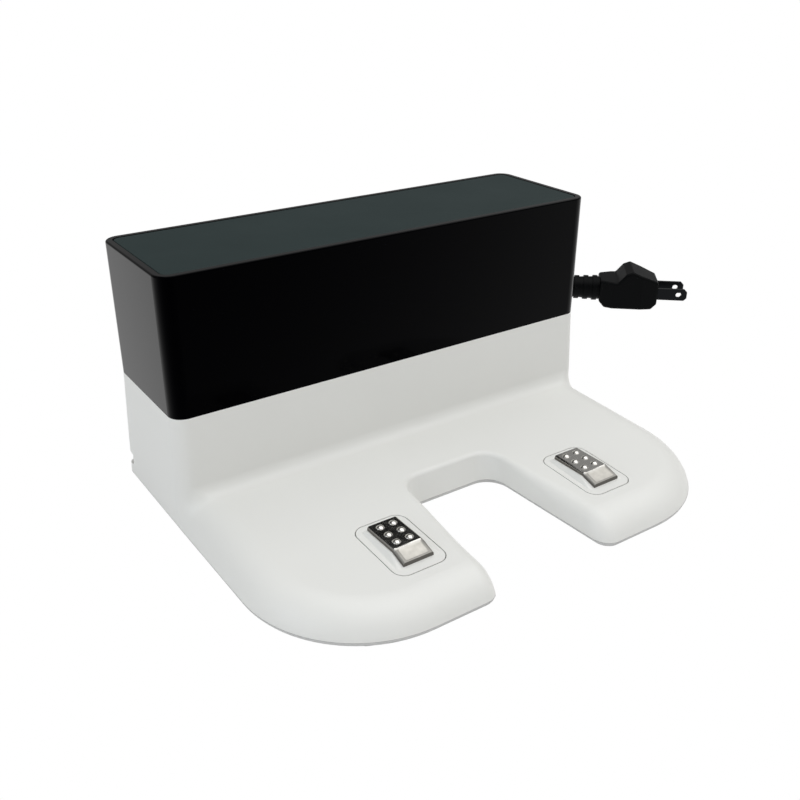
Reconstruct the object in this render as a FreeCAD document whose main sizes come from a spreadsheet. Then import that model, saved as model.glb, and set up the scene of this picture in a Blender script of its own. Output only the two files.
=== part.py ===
"""Robot vacuum charging dock: forked white base, black tower, two sprung contacts, mains lead.

Millimetres, +Z up, the robot comes from -Y. The origin is on the floor under the middle of the dock.
"""
import FreeCAD
import Part
import math
import os
import re

import Sketcher
from FreeCAD import Placement, Rotation, Vector

# Driving dimensions, in millimetres; slopes are rises per run
SIZES = {
    # tower
    "tower_width": 180.0,
    "tower_depth": 52.0,
    "tower_height": 92.7,
    "tower_radius": 5.5,
    "seam_height": 43.6,
    "face_place": 17.8,
    "draft_slope": 0.038,
    "wall": 2.4,
    "spigot_height": 4.0,
    "spigot_wall": 1.8,
    "fit_gap": 0.15,
    # forked ramp
    "nose_reach": 72.1,
    "ramp_height": 13.6,
    "ramp_slope": 0.041,
    "cove_radius": 5.0,
    "corner_radius": 43.0,
    "shoulder_root": 9.0,
    "shoulder_radius": 13.0,
    "notch_back": 13.9,
    "notch_half": 20.0,
    "notch_mouth": 22.8,
    "notch_lean": 0.27,
    "notch_draft": 0.03,
    "notch_radius": 8.0,
    "notch_edge": 1.8,
    "lobe_radius": 6.0,
    "underrun": 15.0,
    "span": 320.0,
    # bottom cover, feet and screws
    "foot_height": 0.4,
    "foot_recess": 0.8,
    "foot_radius": 7.0,
    "plate_thickness": 1.6,
    "foot_front_x": 56.0,
    "foot_front_y": -52.0,
    "foot_rear_inset": 14.0,
    "foot_rear_gap": 13.8,
    "screw_radius": 1.4,
    "screw_head_radius": 2.8,
    "screw_length": 8.0,
    "screw_gap": 0.05,
    "boss_radius": 4.0,
    "boss_top": 10.2,
    "boss_front_x": 67.0,
    "boss_front_y": -38.0,
    "boss_side_inset": 4.0,
    "boss_side_y": 40.0,
    "boss_rear_gap": 9.8,
    # cord bay and channel in the back wall
    "bay_half": 20.0,
    "bay_depth": 21.5,
    "bay_height": 22.0,
    "bay_wall": 2.2,
    "channel_middle": 8.1,
    "channel_floor": 4.2,
    "channel_mouth": 7.4,
    "channel_depth": 7.6,
    # black sleeve and its top
    "sleeve_wall": 2.5,
    "sleeve_roof": 1.7,
    "sleeve_edge": 0.7,
    "rim_width": 2.4,
    "panel_thickness": 1.6,
    "panel_gap": 0.35,
    "panel_drop": 0.1,
    "panel_edge": 0.3,
    # floating contact carriers
    "contact_spread": 41.2,
    "contact_place": -41.4,
    "carrier_width": 19.4,
    "carrier_length": 28.4,
    "carrier_radius": 4.2,
    "carrier_gap": 0.35,
    "carrier_bottom": 6.4,
    "flange_width": 1.3,
    "flange_gap": 0.06,
    "block_top_half": 6.2,
    "block_slope": 0.9,
    "block_height": 3.95,
    "block_back": 0.4,
    "block_edge": 1.2,
    "contact_height": 14.15,
    "contact_half": 5.8,
    "contact_back": -31.0,
    "contact_bend": -45.7,
    "contact_nose_slope": 0.3,
    "contact_nose_run": 6.1,
    "contact_sheet": 1.4,
    "contact_edge": 0.8,
    "dome_radius": 1.45,
    "dome_height": 0.7,
    "dome_pitch_x": 5.0,
    "dome_pitch_y": 4.7,
    "tail_half": 2.0,
    # leaf springs under the carriers
    "leaf_half": 4.0,
    "leaf_sheet": 0.4,
    "leaf_foot": 13.6,
    "leaf_pad": 8.0,
    "leaf_reach": 10.0,
    "leaf_end": -20.0,
    # supply board
    "board_x": -4.0,
    "board_front_gap": 0.8,
    "board_length": 128.0,
    "board_rear_gap": 0.3,
    "board_sheet": 1.6,
    "board_height": 8.0,
    "board_hole_x": 58.0,
    "board_hole_edge": 3.5,
    "standoff_radius": 3.2,
    "pan_radius": 2.6,
    "pan_height": 1.6,
    "transformer_x": 22.0,
    "transformer_length": 26.0,
    "transformer_width": 20.0,
    "transformer_height": 20.0,
    "bobbin_lip": 3.0,
    "bulk_x": -14.0,
    "bulk_radius": 7.0,
    "bulk_height": 25.0,
    "filter_x": -42.0,
    "filter_length": 18.0,
    "filter_width": 8.5,
    "filter_height": 14.0,
    # beacon board behind the sleeve's front
    "beacon_length": 116.0,
    "beacon_width": 22.0,
    "beacon_middle": 68.0,
    "beacon_setback": 5.4,
    "beacon_hole_x": 50.0,
    "beacon_post": 3.0,
    "led_radius": 2.5,
    "led_length": 4.2,
    "led_pitch": 28.0,
    "lead_radius": 0.8,
    "lead_on_board": 6.0,
    "lead_over_edge": 4.0,
    "lead_half_way": 12.0,
    "lead_half_drop": 2.4,
    "lead_landing": 24.0,
    "lead_joint": 2.0,
    # mains lead and plug
    "cord_diameter": 5.0,
    "gland_height": 12.0,
    "gland_flange": 6.4,
    "gland_bore": 4.6,
    "gland_root": 5.2,
    "gland_tip": 3.3,
    "gland_length": 22.4,
    "coil_x": 38.0,
    "coil_y": 125.0,
    "coil_inner": 17.9,
    "coil_outer": 38.1,
    "coil_height": 10.0,
    "coil_lift": 0.95,
    "coil_edge": 2.2,
    "tie_width": 6.0,
    "tie_sheet": 0.8,
    "tie_gap": 0.35,
    "plug_x": 193.6,
    "plug_y": 102.3,
    "plug_turn": -41.0,
    "face_gap": 0.001,
    "plug_length": 31.5,
    "plug_half": 11.0,
    "plug_rear_half": 8.0,
    "plug_face_half": 9.0,
    "plug_shoulder": 7.0,
    "plug_taper": 9.0,
    "plug_axis": 8.5,
    "plug_thickness": 21.5,
    "plug_rear_top": 15.2,
    "plug_face_top": 15.5,
    "plug_rise_start": 9.5,
    "plug_rise_end": 13.5,
    "plug_peak": 17.0,
    "plug_bevel": 3.0,
    "plug_edge": 1.4,
    "neck_length": 25.0,
    "neck_root": 6.4,
    "neck_tip": 5.2,
    "neck_ring": 0.7,
    "neck_ring_count": 5.0,
    "blade_spacing": 12.7,
    "blade_width": 6.4,
    "blade_sheet": 1.5,
    "blade_length": 16.0,
    "blade_hole_place": 11.5,
}

# The lead's route where it isn't coiled: from the strain relief to the coil, and on to the plug
RUN_POINTS = [(0.0, 70.7, 12.0), (0.3, 86.0, 11.2), (1.2, 101.0, 6.6), (2.4, 116.0, 3.7)]
LEAD_POINTS = [
    (57.0, 160.4, 8.3),
    (80.0, 159.8, 4.6),
    (106.5, 156.0, 2.7),
    (131.5, 148.0, 3.0),
    (155.5, 134.9, 5.6),
    (174.73, 118.7, 8.5),
]

doc = FreeCAD.newDocument("charging_dock")
sheet = doc.addObject("Spreadsheet::Sheet", "Sizes")
for row, (alias, number) in enumerate(SIZES.items(), start=1):
    sheet.set(f"A{row}", alias)
    sheet.set(f"B{row}", str(number))
    sheet.setAlias(f"B{row}", alias)
doc.recompute()

SIDES = {"left": -1, "right": 1}
UP = Rotation()
ALONG_Y = Rotation(Vector(1, 0, 0), -90)
BACKWARD_X = Rotation(Vector(0, 1, 0), -90)
SIDE_VIEW = Rotation(0.5, 0.5, 0.5, 0.5)
FRONT_VIEW = Rotation(Vector(1, 0, 0), 90)
# Rough sizes that a new sketch starts from, and the distances within which edges count as found
ROUGH_REACH = 20.0
ROUGH_ARC = 5.0
TOUCH = 0.01
EXACT = 1e-6


def size(alias):
    """A driving dimension, read from the sheet."""
    return float(sheet.get(alias))


def formula(text):
    """Text with every alias written as a reference to the sheet."""
    return re.sub(r"[a-z_]+", lambda m: f"Sizes.{m.group(0)}" if m.group(0) in SIZES else m.group(0), text)


def bind(thing, **sizes):
    """Ties properties of a feature to the sheet; two underscores stand for a dot."""
    for name, text in sizes.items():
        thing.setExpression(name.replace("__", "."), formula(text))
    return thing


def place(thing, x="0", y="0", z="0", rotation=UP):
    thing.Placement = Placement(Vector(0, 0, 0), rotation)
    return bind(thing, Placement__Base__x=x, Placement__Base__y=y, Placement__Base__z=z)


def box(name, x, y, z, length, width, height):
    solid = bind(doc.addObject("Part::Box", name), Length=length, Width=width, Height=height)
    return place(solid, x, y, z)


def cylinder(name, x, y, z, radius, height, rotation=UP):
    solid = bind(doc.addObject("Part::Cylinder", name), Radius=radius, Height=height)
    return place(solid, x, y, z, rotation)


def cone(name, x, y, z, first, last, height, rotation=UP):
    solid = bind(doc.addObject("Part::Cone", name), Radius1=first, Radius2=last, Height=height)
    return place(solid, x, y, z, rotation)


def cut(name, base, *tools):
    """Base without the tools."""
    solid = doc.addObject("Part::Cut", name)
    solid.Base = base
    solid.Tool = tools[0] if len(tools) == 1 else fuse(f"{name}_tools", *tools)
    doc.recompute()
    return solid


def fuse(name, *pieces):
    solid = doc.addObject("Part::MultiFuse", name)
    solid.Shapes = list(pieces)
    doc.recompute()
    return solid


def common(name, *pieces):
    solid = doc.addObject("Part::MultiCommon", name)
    solid.Shapes = list(pieces)
    doc.recompute()
    return solid


def middle(edge):
    return edge.valueAt((edge.FirstParameter + edge.LastParameter) / 2)


def fillet(name, base, radii, kind="Part::Fillet"):
    """Rounds the edges for which radii(edge) gives a pair: the radius at its two ends."""
    doc.recompute()
    solid = doc.addObject(kind, name)
    solid.Base = base
    pairs = [(index, radii(edge)) for index, edge in enumerate(base.Shape.Edges, start=1)]
    solid.Edges = [(index, *pair) for index, pair in pairs if pair]
    doc.recompute()
    return solid


def polygon_sketch(name, points, host=None, plane="XY_Plane", z="0", rotation=UP):
    """A closed outline of straight lines through points given as pairs of formulas."""
    sketch = start_sketch(name, host, plane, z, rotation)
    count = len(points)
    turns = [2 * math.pi * index / count for index in range(count + 1)]
    rough = [Vector(math.cos(turn), math.sin(turn), 0) * ROUGH_REACH for turn in turns]
    for first, last in zip(rough, rough[1:]):
        sketch.addGeometry(Part.LineSegment(first, last))
    for index in range(count):
        sketch.addConstraint(Sketcher.Constraint("Coincident", index, 2, (index + 1) % count, 1))
    for index, (across, along) in enumerate(points):
        for kind, text in (("DistanceX", across), ("DistanceY", along)):
            place_constraint(sketch, kind, index, 1, text)
    doc.recompute()
    return sketch


def start_sketch(name, host, plane, z, rotation):
    """An empty sketch, free or on one of its body's own planes."""
    if host is None:
        sketch = doc.addObject("Sketcher::SketchObject", name)
        return place(sketch, z=z, rotation=rotation)
    sketch = host.newObject("Sketcher::SketchObject", name)
    origin = [feature for feature in host.Origin.OriginFeatures if feature.Role == plane]
    sketch.AttachmentSupport = [(origin[0], "")]
    sketch.MapMode = "FlatFace"
    return bind(sketch, AttachmentOffset__Base__z=z)


def place_constraint(sketch, kind, item, point, text):
    """Sets one coordinate of a sketch point from the sketch's origin."""
    number = sketch.addConstraint(Sketcher.Constraint(kind, -1, 1, item, point, 1.0))
    sketch.setExpression(f"Constraints[{number}]", formula(text))


def rounded_sketch(name, x, y, length, width, radius, host=None, plane="XY_Plane", z="0", rotation=UP):
    """A rectangle with round corners, centred on x, y."""
    sketch = start_sketch(name, host, plane, z, rotation)
    short = ROUGH_REACH - ROUGH_ARC
    for start in range(-90, 270, 90):
        turn = Rotation(Vector(0, 0, 1), start)
        side_start = turn.multVec(Vector(ROUGH_REACH, -short, 0))
        side_end = turn.multVec(Vector(ROUGH_REACH, short, 0))
        sketch.addGeometry(Part.LineSegment(side_start, side_end))
        circle = Part.Circle(turn.multVec(Vector(short, short, 0)), Vector(0, 0, 1), ROUGH_ARC)
        first = math.radians(start)
        sketch.addGeometry(Part.ArcOfCircle(circle, first, first + math.pi / 2))
    for index in range(8):
        sketch.addConstraint(Sketcher.Constraint("Tangent", index, 2, (index + 1) % 8, 1))
    for index in (3, 5, 7):
        sketch.addConstraint(Sketcher.Constraint("Equal", 1, index))
    sketch.addConstraint([Sketcher.Constraint("Horizontal", 0), Sketcher.Constraint("Vertical", 2)])
    sketch.addConstraint([Sketcher.Constraint("Horizontal", 4), Sketcher.Constraint("Vertical", 6)])
    number = sketch.addConstraint(Sketcher.Constraint("Radius", 1, ROUGH_ARC))
    sketch.setExpression(f"Constraints[{number}]", formula(radius))
    place_constraint(sketch, "DistanceX", 2, 1, f"({x}) + ({length}) / 2")
    place_constraint(sketch, "DistanceX", 6, 1, f"({x}) - ({length}) / 2")
    place_constraint(sketch, "DistanceY", 4, 1, f"({y}) + ({width}) / 2")
    place_constraint(sketch, "DistanceY", 0, 1, f"({y}) - ({width}) / 2")
    doc.recompute()
    return sketch


def extrusion(name, sketch, height, direction=Vector(0, 0, 1), symmetric=False):
    solid = doc.addObject("Part::Extrusion", name)
    solid.Base = sketch
    solid.DirMode = "Custom"
    solid.Dir = direction
    solid.Symmetric = symmetric
    solid.Solid = True
    bind(solid, LengthFwd=height)
    doc.recompute()
    return solid


def new_body(name):
    return doc.addObject("PartDesign::Body", name)


def pad(body, name, sketch, length, midplane=False):
    feature = body.newObject("PartDesign::Pad", name)
    feature.Profile = sketch
    feature.SideType = "Symmetric" if midplane else "One side"
    bind(feature, Length=length)
    doc.recompute()
    return feature


def pocket(body, name, sketch, length, reverse=False):
    """Cuts a sketch into the body, and stops where the cut takes nothing away."""
    before = body.Shape.Volume
    feature = body.newObject("PartDesign::Pocket", name)
    feature.Profile = sketch
    feature.Reversed = reverse
    bind(feature, Length=length)
    doc.recompute()
    if body.Shape.Volume > before - EXACT:
        raise ValueError(f"{name} cuts nothing")
    return feature


def dress(body, name, kind, edges, text):
    """Rounds or bevels the edges of the body's last feature for which edges(edge) is true."""
    base = body.Tip
    chosen = [f"Edge{index}" for index, edge in enumerate(base.Shape.Edges, start=1) if edges(edge)]
    feature = body.newObject(f"PartDesign::{kind}", name)
    feature.Base = (base, chosen)
    bind(feature, **{"Radius" if kind == "Fillet" else "Size": text})
    doc.recompute()
    return feature


NODES = {}


def node(name, feature):
    """Names a finished sub-part."""
    feature.Label = name
    NODES[name] = feature
    return feature


# Moulded form: a ramp profile across the width, trimmed to the footprint and rounded all along its edge
PARTING = "(foot_height + plate_thickness)"
BACK_FACE = "(face_place + tower_depth)"


def moulded_form(name, inset, top):
    """The base's outer form, or with an inset its hollow, before the fork's notch is cut."""
    drop = f"(seam_height - ramp_height + {inset})"
    root = f"(({inset} - {drop} * draft_slope) / (1 - ramp_slope * draft_slope))"
    outline = [
        ("span", top),
        (f"face_place + {inset} + ({top} - seam_height) * draft_slope", top),
        (f"face_place + {root}", f"ramp_height - {inset} + {root} * ramp_slope"),
        ("-span", f"ramp_height - {inset} - (span + face_place) * ramp_slope"),
        ("-span", "-span"),
        ("span", "-span"),
    ]
    profile = polygon_sketch(f"{name}_profile", outline, rotation=SIDE_VIEW)
    block = extrusion(f"{name}_ramp", profile, "span", Vector(1, 0, 0), symmetric=True)
    cove = size("cove_radius") + size("wall") * (inset != "0")
    ramp = fillet(f"{name}_cove", block, lambda edge: (cove, cove) if is_root(edge) else None)
    spread = f"tower_width / 2 - {inset} + seam_height * draft_slope"
    rear = f"{BACK_FACE} - {inset} + seam_height * draft_slope"
    wedge = bind(
        doc.addObject("Part::Wedge", f"{name}_wedge"),
        Ymin="-underrun",
        Ymax=top,
        Xmin=f"-({spread} + underrun * draft_slope)",
        Xmax=f"{spread} + underrun * draft_slope",
        X2min=f"-({spread} - {top} * draft_slope)",
        X2max=f"{spread} - {top} * draft_slope",
        Zmin=f"-({rear} + underrun * draft_slope)",
        Z2min=f"-({rear} - {top} * draft_slope)",
        Zmax=f"nose_reach - {inset}",
        Z2max=f"nose_reach - {inset}",
    )
    place(wedge, rotation=Rotation(Vector(1, 0, 0), 90))
    thinner = size("wall") * (inset != "0")
    front = size("corner_radius") - thinner
    rear_radius = size("tower_radius") - thinner
    footprint = fillet(f"{name}_footprint", wedge, lambda edge: upright_radius(edge, front, rear_radius))
    trimmed = common(f"{name}_trimmed", ramp, footprint)
    return fillet(f"{name}_form", trimmed, lambda edge: shoulder_radii(edge, thinner))


def is_root(edge):
    """The straight edge where the tower's face meets the ramp."""
    point = middle(edge)
    near = abs(point.y - size("face_place")) < 3 * size("wall")
    return near and abs(point.x) < 1 and 0 < point.z < size("seam_height") - 10


def upright_radius(edge, front, rear):
    """The corner radius of a footprint's upright edge."""
    tall = abs(edge.Vertexes[0].Z - edge.Vertexes[-1].Z) > size("seam_height")
    if not tall:
        return None
    return (front, front) if middle(edge).y < 0 else (rear, rear)


def ramp_level(y, inset=0.0):
    return size("ramp_height") - inset + (y - size("face_place")) * size("ramp_slope")


def shoulder_radii(edge, inset):
    """Radii along the rounded edge that runs down the tower, through the cove and round the ramp."""
    point = middle(edge)
    first, last = edge.valueAt(edge.FirstParameter), edge.valueAt(edge.LastParameter)
    side = size("tower_width") / 2 - inset + (size("seam_height") - point.z) * size("draft_slope")
    on_side = abs(abs(point.x) - side) < TOUCH
    face = size("face_place") + inset + (point.z - size("seam_height")) * size("draft_slope")
    on_ramp = abs(point.z - ramp_level(point.y, inset)) < TOUCH
    tower = size("tower_radius") - inset
    root = size("shoulder_root") - inset
    wide = size("shoulder_radius") - inset
    if on_side and abs(point.y - face) < TOUCH:
        return tower, tower
    if on_side and on_ramp:
        return (root, wide) if first.y > last.y else (wide, root)
    if on_side and abs(point.y) < size("tower_depth") and 0 < point.z < size("seam_height") - 2:
        return (tower, root) if first.z > last.z else (root, tower)
    if on_ramp and point.y < -size("notch_half"):
        return wide, wide
    return None


def notch_tool(name, inset):
    """The fork's notch with its leaning back wall; an inset makes it larger for the hollow."""
    rims = []
    for end, level in (("low", "-underrun"), ("high", "seam_height")):
        lean = f"({level})"
        back = f"-notch_back + {inset} + {lean} * notch_lean"
        half = f"notch_half + {inset} + {lean} * notch_draft"
        mouth = f"notch_mouth + {inset} + {lean} * notch_draft"
        outline = [
            (f"-({half})", back),
            (f"-({mouth})", "-nose_reach - wall"),
            (mouth, "-nose_reach - wall"),
            (half, back),
        ]
        rims.append(polygon_sketch(f"{name}_{end}", outline, z=level))
    loft = doc.addObject("Part::Loft", f"{name}_loft")
    loft.Sections = rims
    loft.Solid = True
    loft.Ruled = True
    radius = size("notch_radius") + size("wall") * (inset != "0")
    return fillet(name, loft, lambda edge: (radius, radius) if is_notch_corner(edge) else None)


def is_notch_corner(edge):
    tall = abs(edge.Vertexes[0].Z - edge.Vertexes[-1].Z) > size("seam_height")
    return tall and middle(edge).y > -size("nose_reach") / 2


def lobe_radii(edge, outer, notch):
    """Radii along the fork's inner edge: small on the ramp, growing round the lobes' noses."""
    point = Part.Vertex(middle(edge))
    on_both = all(skin.Shape.Shells[0].distToShape(point)[0] < TOUCH for skin in (outer, notch))
    if not on_both or point.Z < 1 - size("underrun"):
        return None
    small, large = size("notch_edge"), size("lobe_radius")
    nose = size("shoulder_radius") - size("nose_reach")
    if point.Y > nose:
        return small, small
    first, last = edge.valueAt(edge.FirstParameter), edge.valueAt(edge.LastParameter)
    if abs(first.y - last.y) < 0.5:
        return large, large
    return (small, large) if first.z > last.z else (large, small)


def rounded_prism(name, x, y, z, length, width, radius, height):
    outline = rounded_sketch(f"{name}_outline", x, y, length, width, radius, z=z)
    return extrusion(name, outline, height)


TOWER_MIDDLE = "(face_place + tower_depth / 2)"
BAY_FRONT = "(face_place + tower_depth - bay_depth)"
CHANNEL_FLOOR = "(face_place + tower_depth + (seam_height - channel_middle) * draft_slope - channel_depth)"


def screw_places():
    """Formulas for the places of the screws that close the bottom."""
    rear_x = "bay_half + bay_wall + boss_radius - wall / 2"
    side_x = "tower_width / 2 - boss_side_inset"
    rear_y = f"{BACK_FACE} - boss_rear_gap"
    rows = (("boss_front_x", "boss_front_y"), (side_x, "boss_side_y"), (rear_x, rear_y))
    return [(f"{sign} * ({x})", y) for x, y in rows for sign in SIDES.values()]


def symmetric_skin():
    """The housing's outer form with its fork; the left half is mirrored to make the right one."""
    outer = moulded_form("outer", "0", "seam_height")
    notch = notch_tool("notch", "0")
    forked = cut("forked", outer, notch)
    rounded = fillet("rounded_fork", forked, lambda edge: lobe_radii(edge, outer, notch))
    half_space = box("left_space", "-span", "-span", "-span", "span", "2 * span", "2 * span")
    half = common("left_half", rounded, half_space)
    mirror = doc.addObject("Part::Mirroring", "right_half")
    mirror.Source = half
    mirror.Normal = Vector(1, 0, 0)
    doc.recompute()
    skin = fuse("skin", half, mirror)
    skin.Refine = True
    doc.recompute()
    return skin


def spigot_rim():
    """The collar under the seam and the spigot that the black sleeve slides over."""
    slack = "2 * (sleeve_wall + fit_gap)"
    low = "seam_height - 2 * spigot_height"
    collar = rounded_prism(
        "collar", "0", TOWER_MIDDLE, low, "tower_width - wall", "tower_depth - wall",
        "tower_radius - wall / 2", "2 * spigot_height",
    )
    spigot = rounded_prism(
        "spigot", "0", TOWER_MIDDLE, low, f"tower_width - {slack}", f"tower_depth - {slack}",
        "tower_radius - sleeve_wall - fit_gap", "3 * spigot_height",
    )
    inside = f"{slack} - 2 * spigot_wall"
    bore = rounded_prism(
        "spigot_bore", "0", TOWER_MIDDLE, f"{low} - wall",
        f"tower_width - {inside}", f"tower_depth - {inside}",
        "tower_radius - sleeve_wall - fit_gap - spigot_wall", "3 * spigot_height + 2 * wall",
    )
    return cut("rim", fuse("collar_and_spigot", collar, spigot), bore)


def base_housing(skin):
    """White shell: tower foot and forked ramp, with the cord bay and channel in its back."""
    floor_space = box("floor_space", "-span", "-span", "-span", "2 * span", "2 * span", f"span + {PARTING}")
    trimmed = cut("trimmed", skin, floor_space)
    hollow_form = moulded_form("hollow", "wall", "(seam_height + 2 * spigot_height)")
    hollow = cut("hollow_space", hollow_form, notch_tool("hollow_notch", "wall"))
    shell = cut("shell", trimmed, hollow)
    bay_liner = box(
        "bay_liner", "-bay_half - bay_wall", f"{BAY_FRONT} - bay_wall", PARTING,
        "2 * (bay_half + bay_wall)", "bay_depth + bay_wall", f"bay_height + bay_wall - {PARTING}",
    )
    channel_liner = box(
        "channel_liner", "-tower_width / 2 + wall / 4", f"{CHANNEL_FLOOR} - wall", PARTING,
        "tower_width - wall / 2", f"{BACK_FACE} - {CHANNEL_FLOOR} + wall * 3 / 4",
        f"channel_middle + channel_mouth / 2 + wall - {PARTING}",
    )
    bosses = [
        cylinder(f"boss_{index}", x, y, PARTING, "boss_radius", f"boss_top - {PARTING}")
        for index, (x, y) in enumerate(screw_places())
    ]
    solid = fuse("housing_solid", shell, spigot_rim(), bay_liner, channel_liner, *bosses)
    bay = box("bay", "-bay_half", BAY_FRONT, "0", "2 * bay_half", "span", "bay_height")
    mouth = f"{BACK_FACE} + (seam_height - channel_middle) * draft_slope + wall"
    channel_outline = polygon_sketch(
        "channel_outline",
        [
            (CHANNEL_FLOOR, "channel_middle - channel_floor / 2"),
            (mouth, "channel_middle - channel_mouth / 2"),
            (mouth, "channel_middle + channel_mouth / 2"),
            (CHANNEL_FLOOR, "channel_middle + channel_floor / 2"),
        ],
        rotation=SIDE_VIEW,
    )
    channel = extrusion("channel", channel_outline, "span", Vector(1, 0, 0), symmetric=True)
    gland_hole = cylinder(
        "gland_hole", "0", f"{BAY_FRONT} - 2 * bay_wall", "gland_height",
        "gland_bore", "4 * bay_wall", ALONG_Y,
    )
    pilot_top = "foot_height + screw_length + 4 * screw_gap"
    pilots = [
        cylinder(f"pilot_{index}", x, y, "0", "screw_radius + screw_gap", pilot_top)
        for index, (x, y) in enumerate(screw_places())
    ]
    openings = [
        rounded_prism(
            f"contact_opening_{side}", f"{sign} * contact_spread", "contact_place", PARTING,
            "carrier_width + 2 * carrier_gap", "carrier_length + 2 * carrier_gap",
            "carrier_radius + carrier_gap", "ramp_height",
        )
        for side, sign in SIDES.items()
    ]
    return node("base_housing", cut("housing", solid, bay, channel, gland_hole, *pilots, *openings))


def foot_places():
    rows = {
        "front": ("foot_front_x", "foot_front_y"),
        "rear": ("tower_width / 2 - foot_rear_inset", f"{BACK_FACE} - foot_rear_gap"),
    }
    return {
        f"foot_{row}_{side}": (f"{sign} * ({x})", y)
        for row, (x, y) in rows.items()
        for side, sign in SIDES.items()
    }


def base_plate(skin):
    """White bottom cover in the housing's own outline, with the posts for the supply board."""
    layer = box("plate_layer", "-span", "-span", "foot_height", "2 * span", "2 * span", "plate_thickness")
    slab = common("plate_slab", skin, layer)
    posts = [
        cylinder(f"standoff_{index}", x, y, "foot_height", "standoff_radius", "board_height - foot_height")
        for index, (x, y) in enumerate(board_holes())
    ]
    solid = fuse("plate_solid", slab, *posts)
    holes = []
    for index, (x, y) in enumerate(screw_places()):
        holes.append(cylinder(f"plate_hole_{index}", x, y, "0", "screw_radius + screw_gap", "span"))
        holes.append(
            cone(
                f"plate_sink_{index}", x, y, "foot_height", "screw_head_radius + screw_gap",
                "screw_radius + screw_gap", "plate_thickness",
            )
        )
    for index, (x, y) in enumerate(board_holes()):
        holes.append(
            cylinder(f"standoff_bore_{index}", x, y, PARTING, "screw_radius + screw_gap", "board_height")
        )
    for name, (x, y) in foot_places().items():
        holes.append(
            cylinder(f"{name}_seat", x, y, "0", "foot_radius + fit_gap", "foot_height + foot_recess")
        )
    return node("base_plate", cut("plate", solid, *holes))


def feet():
    for name, (x, y) in foot_places().items():
        node(name, cylinder(f"{name}_disc", x, y, "0", "foot_radius", "foot_height + foot_recess"))


def base_screws():
    pieces = []
    for index, (x, y) in enumerate(screw_places()):
        pieces.append(
            cone(
                f"screw_head_{index}", x, y, "foot_height",
                "screw_head_radius", "screw_radius", "plate_thickness",
            )
        )
        pieces.append(cylinder(f"screw_shaft_{index}", x, y, "foot_height", "screw_radius", "screw_length"))
    node("base_screws", fuse("base_screw_set", *pieces))


def upper_cover():
    """Gloss black sleeve, open below, with a recess in its top and two posts behind its front."""
    body = new_body("sleeve")
    walls = rounded_sketch(
        "sleeve_outline", "0", TOWER_MIDDLE, "tower_width", "tower_depth", "tower_radius",
        body, z="seam_height",
    )
    pad(body, "sleeve_block", walls, "tower_height - seam_height")
    recess = rounded_sketch(
        "recess_outline", "0", TOWER_MIDDLE, "tower_width - 2 * rim_width", "tower_depth - 2 * rim_width",
        "tower_radius - rim_width", body, z="tower_height",
    )
    pocket(body, "recess", recess, "panel_thickness + panel_drop")
    inside = rounded_sketch(
        "sleeve_inside", "0", TOWER_MIDDLE,
        "tower_width - 2 * sleeve_wall", "tower_depth - 2 * sleeve_wall",
        "tower_radius - sleeve_wall", body, z="seam_height",
    )
    depth = "tower_height - seam_height - panel_thickness - panel_drop - sleeve_roof"
    pocket(body, "sleeve_hollow", inside, depth, reverse=True)
    top = size("tower_height")
    reach = size("tower_width") / 2 - size("rim_width") / 2
    low, high = size("face_place"), size("face_place") + size("tower_depth")
    inner = size("rim_width") / 2

    def on_rim(edge):
        point = middle(edge)
        outside = abs(point.x) > reach or point.y < low + inner or point.y > high - inner
        return abs(point.z - top) < EXACT and outside

    dress(body, "sleeve_top_edge", "Fillet", on_rim, "sleeve_edge")
    start = "face_place + sleeve_wall"
    posts = []
    bores = []
    for side, sign in SIDES.items():
        x = f"{sign} * beacon_hole_x"
        posts.append(
            cylinder(
                f"beacon_post_{side}", x, f"{start} - sleeve_wall / 2", "beacon_middle", "beacon_post",
                "beacon_setback + sleeve_wall / 2", ALONG_Y,
            )
        )
        bores.append(
            cylinder(
                f"beacon_bore_{side}", x, f"{start} + screw_gap", "beacon_middle",
                "screw_radius + screw_gap", "beacon_setback", ALONG_Y,
            )
        )
    node("upper_cover", cut("sleeve_bored", fuse("sleeve_with_posts", body, *posts), *bores))


def top_panel():
    body = new_body("panel")
    inset = "2 * (rim_width + panel_gap)"
    outline = rounded_sketch(
        "panel_outline", "0", TOWER_MIDDLE, f"tower_width - {inset}", f"tower_depth - {inset}",
        "tower_radius - rim_width - panel_gap", body, z="tower_height - panel_drop - panel_thickness",
    )
    pad(body, "panel_block", outline, "panel_thickness")
    top = size("tower_height") - size("panel_drop")
    dress(body, "panel_rounding", "Fillet", lambda edge: abs(middle(edge).z - top) < EXACT, "panel_edge")
    node("top_panel", body)


# Floating contacts
NOSE_FACTOR = "sqrt(1 + contact_nose_slope ^ 2)"
BLOCK_TOP = "(contact_height - contact_sheet)"


def under_ramp(name, drop):
    """Everything below the ramp's surface, or below a plane that lies lower by drop."""
    outline = [
        ("-span", f"ramp_height - {drop} - (span + face_place) * ramp_slope"),
        ("-span", "-span"),
        ("span", "-span"),
        ("span", f"ramp_height - {drop} + (span - face_place) * ramp_slope"),
    ]
    profile = polygon_sketch(f"{name}_outline", outline, rotation=SIDE_VIEW)
    return extrusion(name, profile, "span", Vector(1, 0, 0), symmetric=True)


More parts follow.
